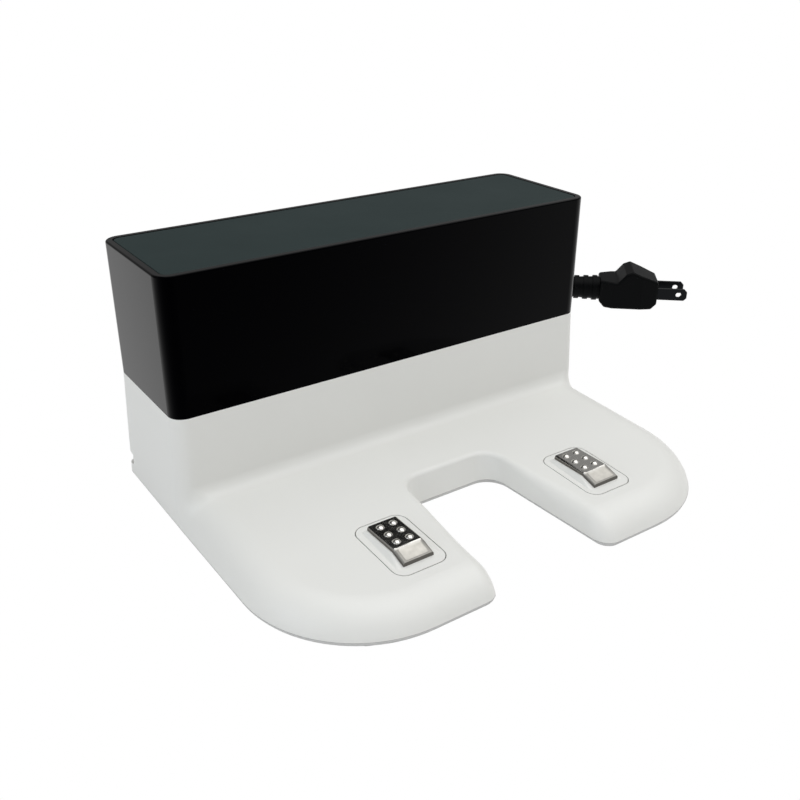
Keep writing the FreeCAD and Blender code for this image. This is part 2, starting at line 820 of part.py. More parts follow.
def contact_carrier(side, sign, ramp_space, flange_space):
    """White block that floats in the ramp, kept in by its flange and raised under the metal."""
    x = f"{sign} * contact_spread"
    stem = rounded_prism(
        f"stem_{side}", x, "contact_place", "carrier_bottom",
        "carrier_width", "carrier_length", "carrier_radius", "ramp_height",
    )
    reach = "2 * (carrier_gap + flange_width)"
    flange = rounded_prism(
        f"flange_{side}", x, "contact_place", "carrier_bottom",
        f"carrier_width + {reach}", f"carrier_length + {reach}",
        "carrier_radius + carrier_gap + flange_width", "ramp_height",
    )
    nose = f"(contact_bend + contact_sheet * ({NOSE_FACTOR} - 1) / contact_nose_slope)"
    half = "block_top_half + block_height * block_slope"
    wedge = bind(
        doc.addObject("Part::Wedge", f"block_{side}"),
        Ymin="0",
        Ymax="block_height",
        Xmin=f"-({half})",
        Xmax=half,
        X2min="-block_top_half",
        X2max="block_top_half",
        Zmin="-(contact_back + block_back + block_height * block_slope)",
        Z2min="-(contact_back + block_back)",
        Zmax=f"-({nose} - block_height / contact_nose_slope)",
        Z2max=f"-{nose}",
    )
    place(wedge, x, "0", f"{BLOCK_TOP} - block_height", Rotation(Vector(1, 0, 0), 90))
    edge_radius = size("block_edge")
    lowest = size("block_height") / 2
    block = fillet(
        f"soft_block_{side}",
        wedge,
        lambda edge: (edge_radius, edge_radius) if edge.BoundBox.ZLength > lowest else None,
    )
    within = common(f"block_within_{side}", block, stem)
    solid = fuse(
        f"carrier_solid_{side}",
        common(f"stem_cut_{side}", stem, ramp_space),
        common(f"flange_cut_{side}", flange, flange_space),
        within,
    )
    slot = box(
        f"tail_slot_{side}", f"{x} - tail_half - fit_gap", "contact_bend - fit_gap", "0",
        "2 * (tail_half + fit_gap)", "contact_sheet + 2 * fit_gap", "span",
    )
    node(f"contact_carrier_{side}", cut(f"carrier_{side}", solid, slot))


def contact_plate(side, sign):
    """Stamped metal cap: six domes on its flat top, and a nose bent down towards the robot."""
    x = f"{sign} * contact_spread"
    body = new_body(f"cap_{side}")
    fall = f"contact_sheet * {NOSE_FACTOR}"
    end = "contact_bend - contact_nose_run"
    level = "contact_height - contact_nose_run * contact_nose_slope"
    outline = [
        ("contact_back", "contact_height"),
        ("contact_bend", "contact_height"),
        (end, level),
        (end, f"{level} - {fall}"),
        (f"contact_bend + contact_sheet * ({NOSE_FACTOR} - 1) / contact_nose_slope", BLOCK_TOP),
        ("contact_back", BLOCK_TOP),
    ]
    profile = polygon_sketch(f"cap_profile_{side}", outline, body, "YZ_Plane", z=x)
    pad(body, f"cap_sheet_{side}", profile, "2 * contact_half", midplane=True)
    low = size("contact_height") - size("contact_nose_run") * size("contact_nose_slope")

    def on_border(edge):
        point = middle(edge)
        outer = abs(abs(point.x - sign * size("contact_spread")) - size("contact_half")) < EXACT
        nose_run = min(point.y - size("contact_bend"), 0.0)
        above = point.z - size("contact_height") - nose_run * size("contact_nose_slope")
        return outer and abs(above) < EXACT and point.z > low

    dress(body, f"cap_rounding_{side}", "Fillet", on_border, "contact_edge")
    ball = "(dome_radius ^ 2 + dome_height ^ 2) / (2 * dome_height)"
    balls = []
    for column in (-1, 1):
        for row in (-1, 0, 1):
            dome = bind(doc.addObject("Part::Sphere", f"dome_{side}"), Radius=ball)
            y = f"(contact_back + contact_bend) / 2 + {row} * dome_pitch_y"
            across = f"{x} + {column} * dome_pitch_x / 2"
            balls.append(place(dome, across, y, f"contact_height + dome_height - {ball}"))
    layer = box(
        f"dome_layer_{side}", f"{x} - contact_half", "contact_bend", "contact_height - contact_sheet / 2",
        "2 * contact_half", "contact_back - contact_bend", "contact_sheet / 2 + dome_height",
    )
    domes = common(f"domes_{side}", fuse(f"balls_{side}", *balls), layer)
    tail = box(
        f"tail_{side}", f"{x} - tail_half", "contact_bend", "carrier_bottom",
        "2 * tail_half", "contact_sheet", "contact_height - contact_sheet / 2 - carrier_bottom",
    )
    node(f"contact_plate_{side}", fuse(f"contact_{side}", body, domes, tail))


def contact_spring(side, sign):
    """Leaf spring from the bottom cover up to the carrier, which also feeds the contact."""
    body = new_body(f"leaf_{side}")
    foot = "leaf_end - leaf_foot"
    reach = f"{foot} - leaf_reach"
    tip = f"{reach} - leaf_pad"
    outline = [
        ("leaf_end", PARTING),
        ("leaf_end", f"{PARTING} + leaf_sheet"),
        (foot, f"{PARTING} + leaf_sheet"),
        (reach, "carrier_bottom"),
        (tip, "carrier_bottom"),
        (tip, "carrier_bottom - leaf_sheet"),
        (reach, "carrier_bottom - leaf_sheet"),
        (foot, PARTING),
    ]
    x = f"{sign} * contact_spread"
    profile = polygon_sketch(f"leaf_profile_{side}", outline, body, "YZ_Plane", z=x)
    pad(body, f"leaf_strip_{side}", profile, "2 * leaf_half", midplane=True)
    node(f"contact_spring_{side}", body)


# Electrics
BOARD_FRONT = "(face_place + wall + board_front_gap)"
BOARD_REAR = f"({BAY_FRONT} - bay_wall - spigot_wall - board_rear_gap)"
BOARD_MIDDLE = f"(({BOARD_FRONT} + {BOARD_REAR}) / 2)"
BOARD_TOP = "(board_height + board_sheet)"


def board_holes():
    return [
        (f"board_x + {across} * board_hole_x", y)
        for across in (-1, 1)
        for y in (f"{BOARD_FRONT} + board_hole_edge", f"{BOARD_REAR} - board_hole_edge")
    ]


def psu_board():
    body = new_body("supply_board")
    outline = rounded_sketch(
        "supply_outline", "board_x", BOARD_MIDDLE, "board_length", f"{BOARD_REAR} - {BOARD_FRONT}",
        "pan_radius", body, z="board_height",
    )
    pad(body, "supply_sheet", outline, "board_sheet")
    holes = [
        cylinder(f"board_bore_{index}", x, y, "0", "screw_radius + screw_gap", "span")
        for index, (x, y) in enumerate(board_holes())
    ]
    node("psu_board", cut("supply_bored", body, *holes))
    pieces = []
    start = f"{PARTING} + screw_gap"
    for index, (x, y) in enumerate(board_holes()):
        pieces.append(cylinder(f"pan_{index}", x, y, BOARD_TOP, "pan_radius", "pan_height"))
        pieces.append(
            cylinder(f"pan_shaft_{index}", x, y, start, "screw_radius", f"{BOARD_TOP} - {PARTING}")
        )
    node("psu_screws", fuse("psu_screw_set", *pieces))


def board_parts():
    """Transformer, bulk capacitor and filter capacitor, standing on the supply board."""
    core = box(
        "core", "transformer_x - transformer_length / 2", f"{BOARD_MIDDLE} - transformer_width / 2",
        BOARD_TOP,
        "transformer_length", "transformer_width", "transformer_height",
    )
    windows = [
        box(
            f"window_{name}", "transformer_x - transformer_length / 2 + bobbin_lip", start,
            f"{BOARD_TOP} + bobbin_lip", "transformer_length - 2 * bobbin_lip", "bobbin_lip",
            "transformer_height - 2 * bobbin_lip",
        )
        for name, start in (
            ("front", f"{BOARD_MIDDLE} - transformer_width / 2"),
            ("rear", f"{BOARD_MIDDLE} + transformer_width / 2 - bobbin_lip"),
        )
    ]
    node("transformer", cut("transformer_core", core, *windows))
    can = cylinder("can", "bulk_x", BOARD_MIDDLE, BOARD_TOP, "bulk_radius", "bulk_height")
    doc.recompute()
    top = size("board_height") + size("board_sheet") + size("bulk_height")
    rim = size("pan_height") / 2
    soft_can = fillet("soft_can", can, lambda edge: (rim, rim) if is_ring_at(edge, top) else None)
    node("bulk_capacitor", soft_can)
    body = new_body("film_block")
    outline = rounded_sketch(
        "film_outline", "filter_x", BOARD_MIDDLE, "filter_length", "filter_width", "pan_height",
        body, z=BOARD_TOP,
    )
    pad(body, "film_box", outline, "filter_height")
    node("filter_capacitor", body)


def is_ring_at(edge, level):
    return edge.BoundBox.ZLength < EXACT and abs(middle(edge).z - level) < EXACT


BEACON_FRONT = "(face_place + sleeve_wall + beacon_setback)"


def beacon():
    """Infrared beacon: a board on the sleeve's two posts, with its lamps facing the robot."""
    sheet_box = box(
        "beacon_sheet", "-beacon_length / 2", BEACON_FRONT, "beacon_middle - beacon_width / 2",
        "beacon_length", "board_sheet", "beacon_width",
    )
    holes = []
    screws = []
    for side, sign in SIDES.items():
        x = f"{sign} * beacon_hole_x"
        holes.append(
            cylinder(
                f"beacon_hole_{side}", x, "0", "beacon_middle", "screw_radius + screw_gap", "span", ALONG_Y,
            )
        )
        screws.append(
            cylinder(
                f"beacon_pan_{side}", x, f"{BEACON_FRONT} + board_sheet", "beacon_middle",
                "pan_radius", "pan_height", ALONG_Y,
            )
        )
        screws.append(
            cylinder(
                f"beacon_shaft_{side}", x, f"{BEACON_FRONT} - beacon_setback / 2", "beacon_middle",
                "screw_radius", "beacon_setback / 2 + board_sheet", ALONG_Y,
            )
        )
    node("beacon_board", cut("beacon_bored", sheet_box, *holes))
    node("beacon_screws", fuse("beacon_screw_set", *screws))
    lamps = []
    for index in (-1.5, -0.5, 0.5, 1.5):
        x = f"{index} * led_pitch"
        start = f"{BEACON_FRONT} - led_length + led_radius"
        lamps.append(
            cylinder(
                f"lamp_{len(lamps)}", x, start, "beacon_middle",
                "led_radius", "led_length - led_radius", ALONG_Y,
            )
        )
        lens = bind(doc.addObject("Part::Sphere", f"lens_{len(lamps)}"), Radius="led_radius", Angle1="0")
        lamps.append(place(lens, x, start, "beacon_middle", Rotation(Vector(1, 0, 0), 90)))
    node("beacon_leds", fuse("lamp_set", *lamps))


# Cords and wires: an arc takes this share of the shorter of its two runs
ARC_SHARE = 0.45


def route_wire(points):
    """Straight runs joined by tangent arcs, each as large as its two runs allow; gives the radii too."""
    corners = [Vector(*point) for point in points]
    edges = []
    radii = []
    start = corners[0]
    for before, corner, after in zip(corners, corners[1:], corners[2:]):
        backward = (before - corner).normalize()
        forward = (after - corner).normalize()
        half_turn = (math.pi - backward.getAngle(forward)) / 2
        setback = ARC_SHARE * min((before - corner).Length, (after - corner).Length)
        radius = setback / math.tan(half_turn)
        radii.append(radius)
        first = corner + backward * setback
        last = corner + forward * setback
        inward = (backward + forward).normalize()
        crown = corner + inward * (radius / math.cos(half_turn) - radius)
        edges.append(Part.makeLine(start, first))
        edges.append(Part.Arc(first, crown, last).toShape())
        start = last
    edges.append(Part.makeLine(start, corners[-1]))
    return Part.Wire(edges), radii


def tube(name, points, diameter):
    """A round tube along a route."""
    path, radii = route_wire(points)
    heading = Vector(*points[1]) - Vector(*points[0])
    ring = Part.Wire(Part.makeCircle(diameter / 2, Vector(*points[0]), heading))
    solid = path.makePipeShell([ring], True, False)
    print(name, "bend radii", [round(radius, 1) for radius in radii], "length", round(path.Length, 1))
    swept = path.Length * math.pi * diameter**2 / 4
    print(name, "volume over section times length", solid.Volume / swept)
    feature = doc.addObject("Part::Feature", f"{name}_tube")
    feature.Shape = solid
    return node(name, feature)


def contact_leads():
    """Wires from the supply board to the feet of the leaf springs."""
    radius = size("lead_radius")
    floor = size("foot_height") + size("plate_thickness")
    foot = floor + size("leaf_sheet") + radius
    end = size("leaf_end") - size("lead_joint")
    board = size("board_height") + size("board_sheet") + radius
    front = size("face_place") + size("wall") + size("board_front_gap")
    spread = size("contact_spread")
    for side, sign in SIDES.items():
        points = [
            (sign * spread, front + size("lead_on_board"), board),
            (sign * spread, front - size("lead_over_edge"), board),
            (sign * spread, front - size("lead_half_way"), foot + size("lead_half_drop")),
            (sign * spread, front - size("lead_landing"), foot),
            (sign * spread, end, foot),
        ]
        tube(f"contact_lead_{side}", points, 2 * radius)


def cord_strain_relief():
    """Tapered sleeve held in the cord bay's front wall."""
    start = f"{BAY_FRONT} - bay_wall - spigot_wall"
    flange = cylinder(
        "gland_flange_disc", "0", start, "gland_height", "gland_flange", "spigot_wall", ALONG_Y,
    )
    neck = cylinder(
        "gland_neck", "0", start, "gland_height",
        "gland_bore - screw_gap", "bay_wall + spigot_wall", ALONG_Y,
    )
    taper = cone(
        "gland_taper", "0", BAY_FRONT, "gland_height", "gland_root", "gland_tip", "gland_length", ALONG_Y,
    )
    node("cord_strain_relief", fuse("gland", flange, neck, taper))


def cord_coil():
    """The put-away length as one ring, and the tie round it."""
    outer = cylinder("coil_outside", "coil_x", "coil_y", "coil_lift", "coil_outer", "coil_height")
    inner = cylinder("coil_inside", "coil_x", "coil_y", "0", "coil_inner", "span")
    ring = cut("coil_ring", outer, inner)
    radius = size("coil_edge")
    levels = (size("coil_lift"), size("coil_lift") + size("coil_height"))

    def on_end(edge):
        return any(is_ring_at(edge, level) for level in levels)

    node("cord_coil", fillet("coil", ring, lambda edge: (radius, radius) if on_end(edge) else None))
    slack = "(tie_gap + tie_sheet)"
    band = box(
        "tie_outside", f"coil_x + coil_inner - {slack}", "coil_y - tie_width / 2",
        "coil_lift - tie_sheet - screw_gap", f"coil_outer - coil_inner + 2 * {slack}", "tie_width",
        "coil_height + 2 * tie_sheet + 2 * screw_gap",
    )
    opening = box(
        "tie_inside", "coil_x + coil_inner - tie_gap", "coil_y - tie_width", "coil_lift - screw_gap",
        "coil_outer - coil_inner + 2 * tie_gap", "2 * tie_width", "coil_height + 2 * screw_gap",
    )
    node("cord_tie", cut("tie", band, opening))


def in_plug(feature):
    """Places a piece that is drawn along the plug's own axis."""
    turn = Rotation(Vector(0, 0, 1), size("plug_turn"))
    feature.Placement = Placement(Vector(0, 0, 0), turn)
    return bind(feature, Placement__Base__x="plug_x", Placement__Base__y="plug_y")


def blade_bevel(edge):
    """The bevel on the edges across a blade's tip."""
    at_tip = abs(middle(edge).x - size("plug_length") - size("blade_length")) < EXACT
    bevel = size("blade_sheet")
    return (bevel, bevel) if at_tip and edge.BoundBox.YLength > bevel / 2 else None


def plug():
    """Two-blade mains plug lying on the floor, drawn from its cord end along its own axis."""
    flank = "plug_length - plug_taper"
    plan = [
        ("face_gap", "-plug_rear_half"),
        ("plug_shoulder", "-plug_half"),
        (flank, "-plug_half"),
        ("plug_length", "-plug_face_half"),
        ("plug_length", "plug_face_half"),
        (flank, "plug_half"),
        ("plug_shoulder", "plug_half"),
        ("face_gap", "plug_rear_half"),
    ]
    profile = [
        ("face_gap", "plug_bevel"),
        ("plug_bevel", "face_gap"),
        ("plug_length - plug_bevel", "face_gap"),
        ("plug_length", "plug_bevel"),
        ("plug_length", "plug_face_top"),
        ("plug_peak", "plug_thickness"),
        ("plug_rise_end", "plug_thickness - plug_edge"),
        ("plug_rise_start", "plug_rear_top"),
        ("face_gap", "plug_rear_top"),
    ]
    flat = extrusion("plug_flat", polygon_sketch("plug_plan", plan), "plug_thickness")
    side_sketch = polygon_sketch("plug_profile", profile, rotation=FRONT_VIEW)
    side_form = extrusion("plug_side", side_sketch, "4 * plug_half", Vector(0, 1, 0), symmetric=True)
    edge_radius = size("plug_edge")
    block = common("plug_block", flat, side_form)
    soft = fillet("plug_rounding", block, lambda edge: (edge_radius, edge_radius))
    node("plug_body", in_plug(soft))
    axis = "plug_axis"
    taper = cone("neck_taper", "0", "0", axis, "neck_root", "neck_tip", "neck_length", BACKWARD_X)
    rings = []
    count = int(size("neck_ring_count"))
    for index in range(count):
        share = f"({index} + 0.5) / neck_ring_count"
        width = "neck_length / neck_ring_count / 2"
        radius = f"neck_root + (neck_tip - neck_root) * {share} + neck_ring"
        start = f"-neck_length * {share} + {width} / 2"
        rings.append(cylinder(f"neck_ring_{index}", start, "0", axis, radius, width, BACKWARD_X))
    node("plug_strain_relief", in_plug(fuse("neck", taper, *rings)))
    for side, sign in SIDES.items():
        blade = box(
            f"blade_{side}_bar", "plug_length", f"{sign} * blade_spacing / 2 - blade_sheet / 2",
            "plug_axis - blade_width / 2", "blade_length", "blade_sheet", "blade_width",
        )
        shaped = fillet(f"blade_{side}_tip", blade, blade_bevel, kind="Part::Chamfer")
        hole = cylinder(
            f"blade_{side}_hole", "plug_length + blade_hole_place",
            f"{sign} * blade_spacing / 2 - blade_sheet", "plug_axis",
            "blade_sheet", "2 * blade_sheet", ALONG_Y,
        )
        node(f"plug_blade_{side}", in_plug(cut(f"blade_{side}", shaped, hole)))


def write_parts():
    """Checks every feature and writes each sub-part to its own file."""
    doc.recompute()
    failed = [thing.Name for thing in doc.Objects if {"Invalid", "Error"} & set(thing.State)]
    failed += [name for name, thing in NODES.items() if thing.Shape.isNull() or not thing.Shape.isValid()]
    if failed:
        raise ValueError(f"features that failed: {failed}")
    os.makedirs("parts", exist_ok=True)
    for name, thing in NODES.items():
        thing.Shape.exportStep(f"parts/{name}.step")
        print(name, len(thing.Shape.Solids), "solids", round(thing.Shape.Volume, 1))


outer_skin = symmetric_skin()
base_housing(outer_skin)
base_plate(outer_skin)
feet()
base_screws()
upper_cover()
top_panel()
ramp_space = under_ramp("ramp_space", "0")
flange_space = under_ramp("flange_space", "(wall + flange_gap)")
for side_name, side_sign in SIDES.items():
    contact_carrier(side_name, side_sign, ramp_space, flange_space)
    contact_plate(side_name, side_sign)
    contact_spring(side_name, side_sign)
psu_board()
board_parts()
beacon()
contact_leads()
cord_strain_relief()
tube("cord_run", RUN_POINTS, size("cord_diameter"))
cord_coil()
tube("cord_lead", LEAD_POINTS, size("cord_diameter"))
plug()
write_parts()
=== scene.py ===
"""Robot vacuum charging dock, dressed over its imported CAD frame."""
import math

import bmesh
import bpy
from bpy.props import FloatProperty, FloatVectorProperty, IntProperty, PointerProperty, StringProperty
from mathutils import Matrix, Vector


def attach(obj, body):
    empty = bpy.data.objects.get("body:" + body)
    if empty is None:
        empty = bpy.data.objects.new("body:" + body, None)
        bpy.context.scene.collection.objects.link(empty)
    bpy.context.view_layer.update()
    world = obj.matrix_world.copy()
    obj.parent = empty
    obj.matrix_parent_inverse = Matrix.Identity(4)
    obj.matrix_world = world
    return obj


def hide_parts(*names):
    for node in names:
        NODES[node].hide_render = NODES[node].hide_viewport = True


bl_info = {
    "name": "Charging dock",
    "version": (1, 0, 0),
    "blender": (4, 5, 0),
    "location": "View3D > Sidebar > Dock",
    "description": "Finishes, mains lead and studio for a robot vacuum charging dock",
    "category": "Object",
}

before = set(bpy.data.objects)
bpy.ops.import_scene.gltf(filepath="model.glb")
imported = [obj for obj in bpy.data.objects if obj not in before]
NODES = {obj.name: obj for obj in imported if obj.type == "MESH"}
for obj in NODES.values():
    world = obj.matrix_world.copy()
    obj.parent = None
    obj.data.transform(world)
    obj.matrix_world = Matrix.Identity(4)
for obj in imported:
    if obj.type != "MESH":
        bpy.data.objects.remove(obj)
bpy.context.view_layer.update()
MM = 0.001

# Points closer than this are one point, and edges sharper or flatter than these angles are kept or cleared
WELD = 0.001 * MM
SHARP_EDGE = math.radians(25)
FLAT_EDGE = math.radians(0.5)

# Limits on a face's unit normal that tell upright faces and the contacts' noses from the others
UPRIGHT = 0.3
NOSE_FORWARD = -0.2
NOSE_UP = 0.9

# The softboxes: both look at the dock's middle
DOCK_MIDDLE = Vector((0.0, 0.0, 0.04))
TOP_SOFTBOX = {"place": (0.3, -0.1, 1.1), "side": 1.4, "hex_colour": "#FFFFFF"}
SIDE_SOFTBOX = {"place": (-1.15, -0.12, 0.55), "side": 0.9, "hex_colour": "#EEF6FF"}

# The lead's route in millimetres: from the strain relief to the coil, and from the coil to the plug
RUN_POINTS = [(0.0, 70.7, 12.0), (0.3, 86.0, 11.2), (1.2, 101.0, 6.6), (2.4, 116.0, 3.7)]
LEAD_POINTS = [
    (57.0, 160.4, 8.3),
    (80.0, 159.8, 4.6),
    (106.5, 156.0, 2.7),
    (131.5, 148.0, 3.0),
    (155.5, 134.9, 5.6),
    (174.73, 118.7, 8.5),
]


class DockFinishes(bpy.types.PropertyGroup):
    """Colours of the dock's finishes, as sRGB hex values."""

    white: StringProperty(name="Housing", description="Moulded white ABS", default="#E6E6E2")
    # This grey, darker than the housing's white, is painted shade along the dock's lower edge, where the
    # bottom cover's rim shows.
    cover: StringProperty(name="Bottom cover", description="Moulded grey white ABS", default="#C6C6C4")
    black: StringProperty(name="Sleeve", description="Polished black ABS", default="#010102")
    charcoal: StringProperty(name="Top panel", description="Textured dark grey ABS", default="#172828")
    nickel: StringProperty(name="Contacts", description="Nickel plated bronze", default="#D2D0CB")
    # Every contact face that doesn't face up takes this dark grey: painted shade, standing in for the dark
    # surroundings those sides reflect.
    side_shade: StringProperty(name="Contact edges", description="Sheared bronze edges", default="#6C6965")
    rubbed: StringProperty(name="Contact noses", description="Nickel rubbed dull", default="#C8C5BE")
    # The nose rim round the coined panel takes this darker grey: painted shade round the panel.
    rim: StringProperty(name="Nose rims", description="Dull nickel round the panel", default="#93918C")
    pvc: StringProperty(name="Lead", description="Black PVC", default="#040506")
    rubber: StringProperty(name="Feet", description="Dark grey rubber", default="#2A2A2A")


class HousingSizes(bpy.types.PropertyGroup):
    """Small edges on the housing."""

    parting_height: FloatProperty(
        name="Parting line", description="Height at which the bottom cover meets the housing",
        default=0.002, unit="LENGTH",
    )
    parting_step: FloatProperty(
        name="Parting step", description="Small step in below the parting line", default=0.0003,
        unit="LENGTH",
    )
    rim_lean: FloatProperty(
        name="Rim lean", description="How far the bottom cover's rim leans in", default=0.00045,
        unit="LENGTH",
    )
    floor_height: FloatProperty(
        name="Underside", description="Height of the bottom cover above the floor", default=0.0004,
        unit="LENGTH",
    )
    floor_bevel: FloatProperty(
        name="Underside bevel", description="Bevel round the bottom cover's lower edge", default=0.0006,
        unit="LENGTH",
    )


class ContactSizes(bpy.types.PropertyGroup):
    """The coined panel on each contact's nose."""

    bend: FloatProperty(
        name="Bend", description="Where the cap bends down to its nose", default=-0.0457, unit="LENGTH"
    )
    nose_end: FloatProperty(
        name="Nose end", description="Where the nose ends", default=-0.0518, unit="LENGTH"
    )
    middle: FloatProperty(
        name="Middle", description="From the dock's middle to a contact's", default=0.0412, unit="LENGTH"
    )
    panel_half: FloatProperty(
        name="Panel half", description="Half the coined panel's width", default=0.0044, unit="LENGTH"
    )
    nose_rim: FloatProperty(
        name="Nose rim", description="Raised border of the nose", default=0.0006, unit="LENGTH"
    )
    nose_corner: FloatProperty(
        name="Panel corner", description="Rounding of the panel's corners", default=0.0012, unit="LENGTH"
    )
    nose_depth: FloatProperty(
        name="Panel depth", description="How deep the panel is coined", default=0.0003, unit="LENGTH"
    )


class LeadSizes(bpy.types.PropertyGroup):
    """Sizes of the mains lead and its put-away coil."""

    diameter: FloatProperty(
        name="Diameter", description="Outside of the lead", default=0.005, min=0.001, unit="LENGTH"
    )
    length: FloatProperty(
        name="Length", description="From the dock to the plug's neck", default=1.28, min=0.1, unit="LENGTH"
    )
    coil_middle: FloatVectorProperty(
        name="Coil middle", description="Centre of the coil on the floor", default=(0.038, 0.125), size=2,
        unit="LENGTH",
    )
    coil_outer: FloatProperty(
        name="Outer turn", description="Radius of the outermost turn", default=0.0356, unit="LENGTH"
    )
    coil_inner: FloatProperty(
        name="Inner turn", description="Radius of the innermost turn", default=0.0204, unit="LENGTH"
    )
    low_layer: FloatProperty(
        name="Lower layer", description="Height of the turns below", default=0.00345, unit="LENGTH"
    )
    high_layer: FloatProperty(
        name="Upper layer", description="Height of the turns above", default=0.00845, unit="LENGTH"
    )
    layer_turns: FloatProperty(name="Turns", description="Turns in each layer", default=2.875, min=1.0)
    rise_turns: FloatProperty(
        name="Rise", description="Turns over which the lead climbs", default=0.5, min=0.1
    )
    turn_points: IntProperty(name="Points", description="Control points in one turn", default=24, min=12)


class StageSizes(bpy.types.PropertyGroup):
    """Camera, lamps and floor."""

    camera_place: FloatVectorProperty(
        name="Camera", description="Where the camera stands", default=(-0.1814, -0.2439, 0.1864),
        subtype="TRANSLATION", unit="LENGTH",
    )
    azimuth: FloatProperty(
        name="Azimuth", description="Turn round the dock", default=math.radians(-34.64), subtype="ANGLE"
    )
    elevation: FloatProperty(
        name="Elevation", description="Tilt down onto the dock", default=math.radians(26.62),
        subtype="ANGLE",
    )
    roll: FloatProperty(
        name="Roll", description="Turn about the view line", default=math.radians(0.306), subtype="ANGLE"
    )
    lens: FloatProperty(name="Lens", description="Focal length on a 36 mm frame", default=41.845, min=1.0)
    sky_front: FloatProperty(name="Front sky", description="Light from the front", default=0.49, min=0.0)
    sky_back: FloatProperty(name="Back sky", description="Light from behind", default=0.32, min=0.0)
    top_lamp: FloatProperty(
        name="Top lamp", description="Softbox overhead", default=10.0, min=0.0, unit="POWER"
    )
    side_lamp: FloatProperty(
        name="Side lamp", description="Softbox on the left", default=3.8, min=0.0, unit="POWER"
    )
    floor_size: FloatProperty(name="Floor", description="Side of the floor", default=12.0, unit="LENGTH")


def linear(hex_colour):
    """An sRGB hex value as linear red, green, blue and alpha."""
    channels = [int(hex_colour[start:start + 2], 16) / 255 for start in (1, 3, 5)]
    return (*[c / 12.92 if c <= 0.04045 else ((c + 0.055) / 1.055) ** 2.4 for c in channels], 1.0)


def add(tree, kind, links=None, **settings):
    """Adds a node; settings fill its own options or its sockets, and links feed its sockets."""
    node = tree.nodes.new(kind)
    for name, value in settings.items():
        if hasattr(node, name):
            setattr(node, name, value)
        else:
            node.inputs[name.replace("_", " ")].default_value = value
    for name, source in (links or {}).items():
        tree.links.new(source, node.inputs[name])
    return node


def finish(name):
    """A new material with an empty tree, its object coordinates in metres, and its shader."""
    material = bpy.data.materials.new(name)
    material.use_nodes = True
    tree = material.node_tree
    tree.nodes.clear()
    place = add(tree, "ShaderNodeTexCoord").outputs["Object"]
    shader = add(tree, "ShaderNodeBsdfPrincipled")
    add(tree, "ShaderNodeOutputMaterial", {"Surface": shader.outputs["BSDF"]})
    return material, tree, place, shader


def per_metre(grain_mm):
    """Texture scale that gives one cell for each grain of this size."""
    return 1.0 / (grain_mm * MM)


def vary(tree, source, low, high):
    """Spreads a texture's value between two ends."""
    spread = add(tree, "ShaderNodeMapRange", {"Value": source}, To_Min=low, To_Max=high)
    return spread.outputs["Result"]


def tint(tree, source, hex_colour, darker):
    """The finish's colour, drifting between itself and a slightly darker one."""
    colour = linear(hex_colour)
    mix = add(tree, "ShaderNodeMix", {"Factor": source}, data_type="RGBA")
    mix.inputs["A"].default_value = colour
    mix.inputs["B"].default_value = (*[c * darker for c in colour[:3]], 1.0)
    return mix.outputs["Result"]


def moulded_abs(name, hex_colour):
    """Injection moulded ABS from a finely spark-eroded mould: satin, with a grain that softens glare."""
    material, tree, place, shader = finish(name)
    # The real grain is near 0.1 mm; it is drawn at 0.45 mm so that it shows in the render
    grain = add(tree, "ShaderNodeTexNoise", {"Vector": place}, Scale=per_metre(0.45), Detail=3.0)
    drift = add(tree, "ShaderNodeTexNoise", {"Vector": place}, Scale=per_metre(35.0), Detail=2.0)
    bump = add(
        tree, "ShaderNodeBump", {"Height": grain.outputs["Fac"]}, Strength=0.06, Distance=0.05 * MM
    )
    tree.links.new(tint(tree, drift.outputs["Fac"], hex_colour, darker=0.975), shader.inputs["Base Color"])
    tree.links.new(vary(tree, grain.outputs["Fac"], low=0.38, high=0.5), shader.inputs["Roughness"])
    tree.links.new(bump.outputs["Normal"], shader.inputs["Normal"])
    shader.inputs["IOR"].default_value = 1.5
    return material


def polished_abs_black(hex_colour):
    """ABS from a mirror-polished mould: deep black, with a faint orange peel and fine wiping marks."""
    material, tree, place, shader = finish("polished_abs_black")
    peel = add(tree, "ShaderNodeTexNoise", {"Vector": place}, Scale=per_metre(9.0), Detail=1.0)
    wipe_space = add(tree, "ShaderNodeMapping", {"Vector": place}, Scale=(0.12, 1.0, 1.0))
    wipes = add(
        tree, "ShaderNodeTexNoise", {"Vector": wipe_space.outputs["Vector"]},
        Scale=per_metre(1.2), Detail=4.0,
    )
    bump = add(
        tree, "ShaderNodeBump", {"Height": peel.outputs["Fac"]}, Strength=0.03, Distance=0.04 * MM
    )
    shader.inputs["Base Color"].default_value = linear(hex_colour)
    tree.links.new(vary(tree, wipes.outputs["Fac"], low=0.05, high=0.11), shader.inputs["Roughness"])
    tree.links.new(bump.outputs["Normal"], shader.inputs["Normal"])
    shader.inputs["IOR"].default_value = 1.23
    shader.inputs["Specular Tint"].default_value = (0.01, 0.01, 0.01, 1.0)
    return material


def textured_abs_charcoal(hex_colour):
    """ABS from an etched mould: matt dark grey with an even leathery grain."""
    material, tree, place, shader = finish("textured_abs_charcoal")
    # The real grain is near 0.3 mm; it is drawn at 0.7 mm so that it shows in the render
    grain = add(tree, "ShaderNodeTexVoronoi", {"Vector": place}, Scale=per_metre(0.7))
    drift = add(tree, "ShaderNodeTexNoise", {"Vector": place}, Scale=per_metre(25.0), Detail=3.0)
    bump = add(
        tree, "ShaderNodeBump", {"Height": grain.outputs["Distance"]}, Strength=0.12, Distance=0.08 * MM
    )
    tree.links.new(tint(tree, drift.outputs["Fac"], hex_colour, darker=0.85), shader.inputs["Base Color"])
    tree.links.new(vary(tree, drift.outputs["Fac"], low=0.55, high=0.68), shader.inputs["Roughness"])
    tree.links.new(bump.outputs["Normal"], shader.inputs["Normal"])
    shader.inputs["IOR"].default_value = 1.33
    return material


def ramp(tree, source, start, end):
    """Goes from nothing to one between two values of its source."""
    change = add(tree, "ShaderNodeMapRange", {"Value": source})
    change.inputs["From Min"].default_value = start
    change.inputs["From Max"].default_value = end
    return change.outputs["Result"]


